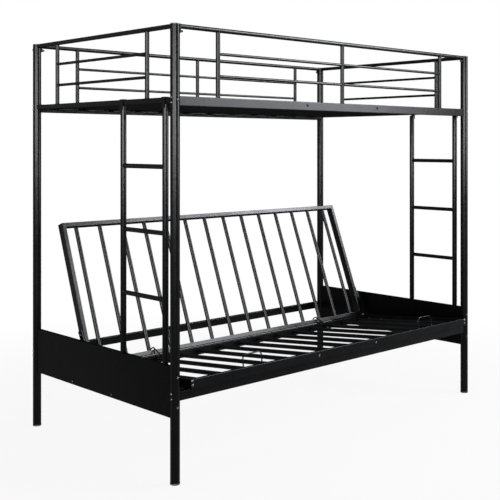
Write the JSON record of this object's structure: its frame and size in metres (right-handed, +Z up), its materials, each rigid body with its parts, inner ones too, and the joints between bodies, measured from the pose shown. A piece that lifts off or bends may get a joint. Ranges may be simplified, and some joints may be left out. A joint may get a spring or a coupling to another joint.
{
  "type": "bunk bed",
  "caption": "Black steel tube bunk bed with a slatted upper deck, guards and end ladders over a futon whose seat pulls forward while its back folds down flat.",
  "frame": {"origin": "bottom centre of the footprint, on the floor", "axes": "+X along the bed to the right, -Y towards the front, +Z up"},
  "size_m": [1.9954, 1.0944, 1.78],
  "materials": {
    "black_paint": "semi-gloss black powder coat",
    "panel_paint": "satin black powder coat on folded sheet",
    "cap_plastic": "moulded black plastic",
    "bolt_steel": "zinc plated",
    "nylon": "natural nylon"
  },
  "bodies": {
    "bed": {"post_front_left": "black_paint", "top_cap_front_left": "cap_plastic", "foot_cap_front_left": "cap_plastic", "guard_bolt_front_left": "bolt_steel", "post_back_left": "black_paint", "top_cap_back_left": "cap_plastic", "foot_cap_back_left": "cap_plastic", "guard_bolt_back_left": "bolt_steel", "post_front_right": "black_paint", "top_cap_front_right": "cap_plastic", "foot_cap_front_right": "cap_plastic", "guard_bolt_front_right": "bolt_steel", "post_back_right": "black_paint", "top_cap_back_right": "cap_plastic", "foot_cap_back_right": "cap_plastic", "guard_bolt_back_right": "bolt_steel", "side_frame_front": "black_paint", "lower_rail_front": "black_paint", "side_frame_back": "black_paint", "lower_rail_back": "black_paint", "end_guard_left": "black_paint", "end_panel_left": "panel_paint", "ladder_left": "black_paint", "shoe_bracket_left": "black_paint", "ramp_track_left": "black_paint", "end_guard_right": "black_paint", "end_panel_right": "panel_paint", "ladder_right": "black_paint", "shoe_bracket_right": "black_paint", "ramp_track_right": "black_paint", "deck_slat_01": "black_paint", "deck_slat_02": "black_paint", "deck_slat_03": "black_paint", "deck_slat_04": "black_paint", "deck_slat_05": "black_paint", "deck_slat_06": "black_paint", "deck_slat_07": "black_paint", "deck_slat_08": "black_paint", "deck_slat_09": "black_paint", "deck_slat_10": "black_paint", "deck_slat_11": "black_paint", "deck_slat_12": "black_paint"},
    "front_shoes": {"front_shoe_left": "nylon", "front_shoe_right": "nylon"},
    "seat": {"seat_frame": "black_paint", "seat_stop_left": "black_paint", "seat_hinge_plate_left": "black_paint", "rear_glide_left": "nylon", "hinge_pin_left": "bolt_steel", "seat_stop_right": "black_paint", "seat_hinge_plate_right": "black_paint", "rear_glide_right": "nylon", "hinge_pin_right": "bolt_steel"},
    "back": {"back_frame": "black_paint", "back_stop_left": "black_paint", "back_hinge_plate_left": "black_paint", "back_stop_right": "black_paint", "back_hinge_plate_right": "black_paint"}
  },
  "joints": [
    {"name": "shoe_tilt", "type": "hinge", "parent": "bed", "child": "front_shoes", "pos_m": [0, -0.48464, 0.345], "axis": [1, 0, 0], "range_deg": [0, 5.84]},
    {"name": "seat_slide", "type": "slide", "parent": "front_shoes", "child": "seat", "axis": [0, -0.9948, 0.1018], "range_m": [0, 0.2776]},
    {"name": "back_fold", "type": "hinge", "parent": "seat", "child": "back", "pos_m": [0, 0.15126, 0.33127], "axis": [1, 0, 0], "range_deg": [-75.18, 0]}
  ],
  "couplings": [
    {"joint": "shoe_tilt", "follows": "seat_slide", "rad_per_m": 0.36717},
    {"joint": "back_fold", "follows": "seat_slide", "rad_per_m": -4.7267}
  ]
}
